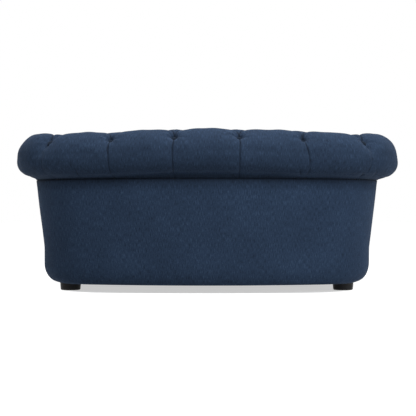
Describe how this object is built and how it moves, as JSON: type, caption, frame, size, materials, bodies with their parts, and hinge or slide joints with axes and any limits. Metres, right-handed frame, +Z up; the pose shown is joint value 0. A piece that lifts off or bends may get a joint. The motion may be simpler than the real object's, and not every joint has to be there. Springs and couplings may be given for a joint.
{
  "type": "dog sofa bed",
  "caption": "Small tufted roll-back sofa for a dog: padded U-shaped wall, bowed back, low feet and a lift-out zipped seat cushion.",
  "frame": {"origin": "on the floor, under the middle of the sofa's overall box", "axes": "+X to the right arm as seen from the front, along the longest side; -Y is the open front; +Z up"},
  "size_m": [0.9116, 0.5608, 0.3701],
  "materials": {
    "navy_fabric": "woven, matt",
    "navy_welt": "corded welt",
    "black_cloth": "non-woven",
    "foam": "open-cell foam",
    "plywood": "raw plywood",
    "hardboard": "smooth hardboard",
    "softwood": "planed softwood",
    "black_plastic": "moulded, satin",
    "screw_steel": "zinc-plated",
    "zip_nylon": "nylon coil",
    "zip_metal": "dark lacquered"
  },
  "bodies": {
    "sofa": {"outside_cover": "navy_fabric", "front_cover": "navy_fabric", "back_tufted_cover": "navy_fabric", "left_arm_tufted_cover": "navy_fabric", "right_arm_tufted_cover": "navy_fabric", "left_arm_facing": "navy_fabric", "right_arm_facing": "navy_fabric", "outer_roll_buttons": "navy_fabric", "inner_roll_buttons": "navy_fabric", "wall_buttons": "navy_fabric", "left_arm_welt": "navy_welt", "right_arm_welt": "navy_welt", "dust_cover": "black_cloth", "deck_cloth": "black_cloth", "pull_down_cloth": "black_cloth", "back_foam": "foam", "left_arm_foam": "foam", "right_arm_foam": "foam", "edge_roll_padding": "foam", "front_padding": "foam", "base_board": "plywood", "seat_deck": "plywood", "top_rail": "plywood", "wall_ribs": "plywood", "left_arm_board": "plywood", "right_arm_board": "plywood", "outer_board": "hardboard", "inner_board": "hardboard", "back_deck_rail": "softwood", "left_deck_rail": "softwood", "right_deck_rail": "softwood", "front_rail": "softwood", "centre_bearer": "softwood", "corner_blocks": "softwood", "foot_back_right": "black_plastic", "foot_back_left": "black_plastic", "foot_front_right": "black_plastic", "foot_front_left": "black_plastic", "foot_screws": "screw_steel"},
    "cushion": {"cushion_cover": "navy_fabric", "cushion_core": "foam", "cushion_welt_top": "navy_welt", "cushion_welt_bottom": "navy_welt", "zip_tape": "zip_nylon", "zip_chain": "zip_nylon", "zip_stops": "zip_metal"},
    "zip_slider": {"zip_slider": "zip_metal"},
    "zip_pull": {"zip_pull": "zip_metal"}
  },
  "joints": [
    {"name": "cushion_lift", "type": "slide", "parent": "sofa", "child": "cushion", "axis": [0, 0, 1], "range_m": [0, 0.3]},
    {"name": "zip_slide", "type": "hinge", "parent": "cushion", "child": "zip_slider", "pos_m": [0, -0.6841, 0.1435], "axis": [0, 0, 1], "range_deg": [0, 29.6]},
    {"name": "zip_pull_flip", "type": "hinge", "parent": "zip_slider", "child": "zip_pull", "pos_m": [0.21254, 0.11843, 0.1435], "axis": [0, 0, -1], "range_deg": [0, 170]}
  ]
}
